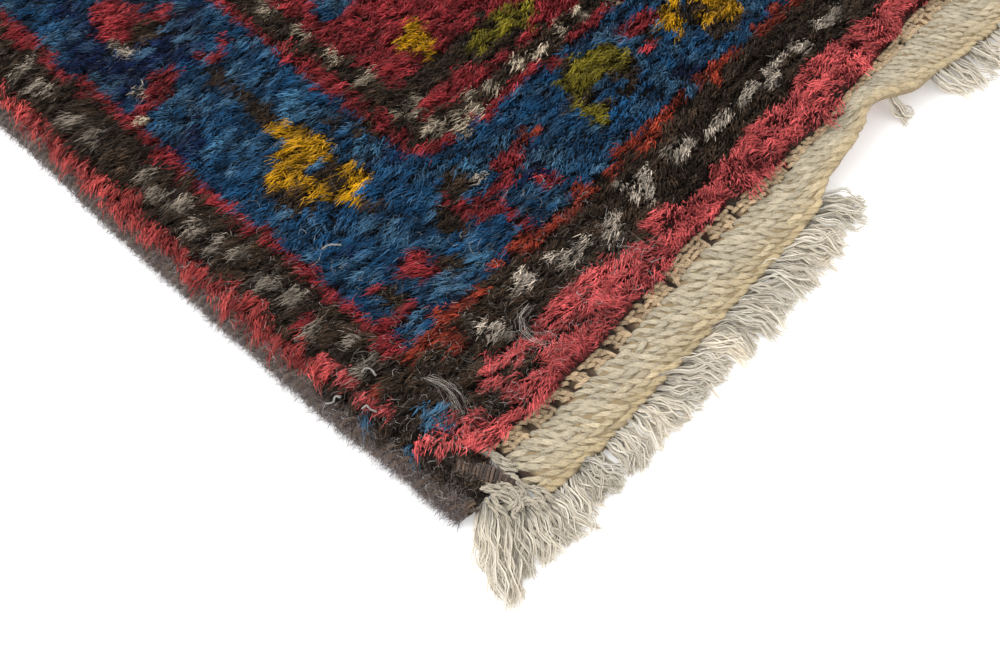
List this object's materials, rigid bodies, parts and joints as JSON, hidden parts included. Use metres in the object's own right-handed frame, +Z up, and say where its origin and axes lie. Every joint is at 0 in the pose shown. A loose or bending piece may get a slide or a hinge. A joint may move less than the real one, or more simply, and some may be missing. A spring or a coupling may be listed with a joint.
{
  "type": "knotted wool rug",
  "caption": "Small hand-knotted wool rug lying flat, with overcast sides, twined end bands and cut fringes, one corner worn bare and the edge beside it a little rucked.",
  "frame": {"origin": "on the floor under the middle of the rug", "axes": "+X along the woven ends, from the left side to the right, +Y along the sides, from the worn near end to the far end, +Z up out of the pile"},
  "size_m": [0.5462, 0.887, 0.0219],
  "materials": {
    "wool_pile": "cut wool pile, blue border with red, dark brown and white guard stripes",
    "selvedge_wool": "dark brown wool overcast in turns",
    "cotton_band": "unbleached cotton twined in slanting rows",
    "cotton_fringe": "loose plied cotton warp ends"
  },
  "bodies": {
    "root": {"pile": "wool_pile", "selvedge_left": "selvedge_wool", "selvedge_right": "selvedge_wool", "end_band_near": "cotton_band", "end_band_far": "cotton_band", "fringe_near_left": "cotton_fringe", "fringe_near_right": "cotton_fringe", "fringe_far": "cotton_fringe"}
  },
  "joints": []
}
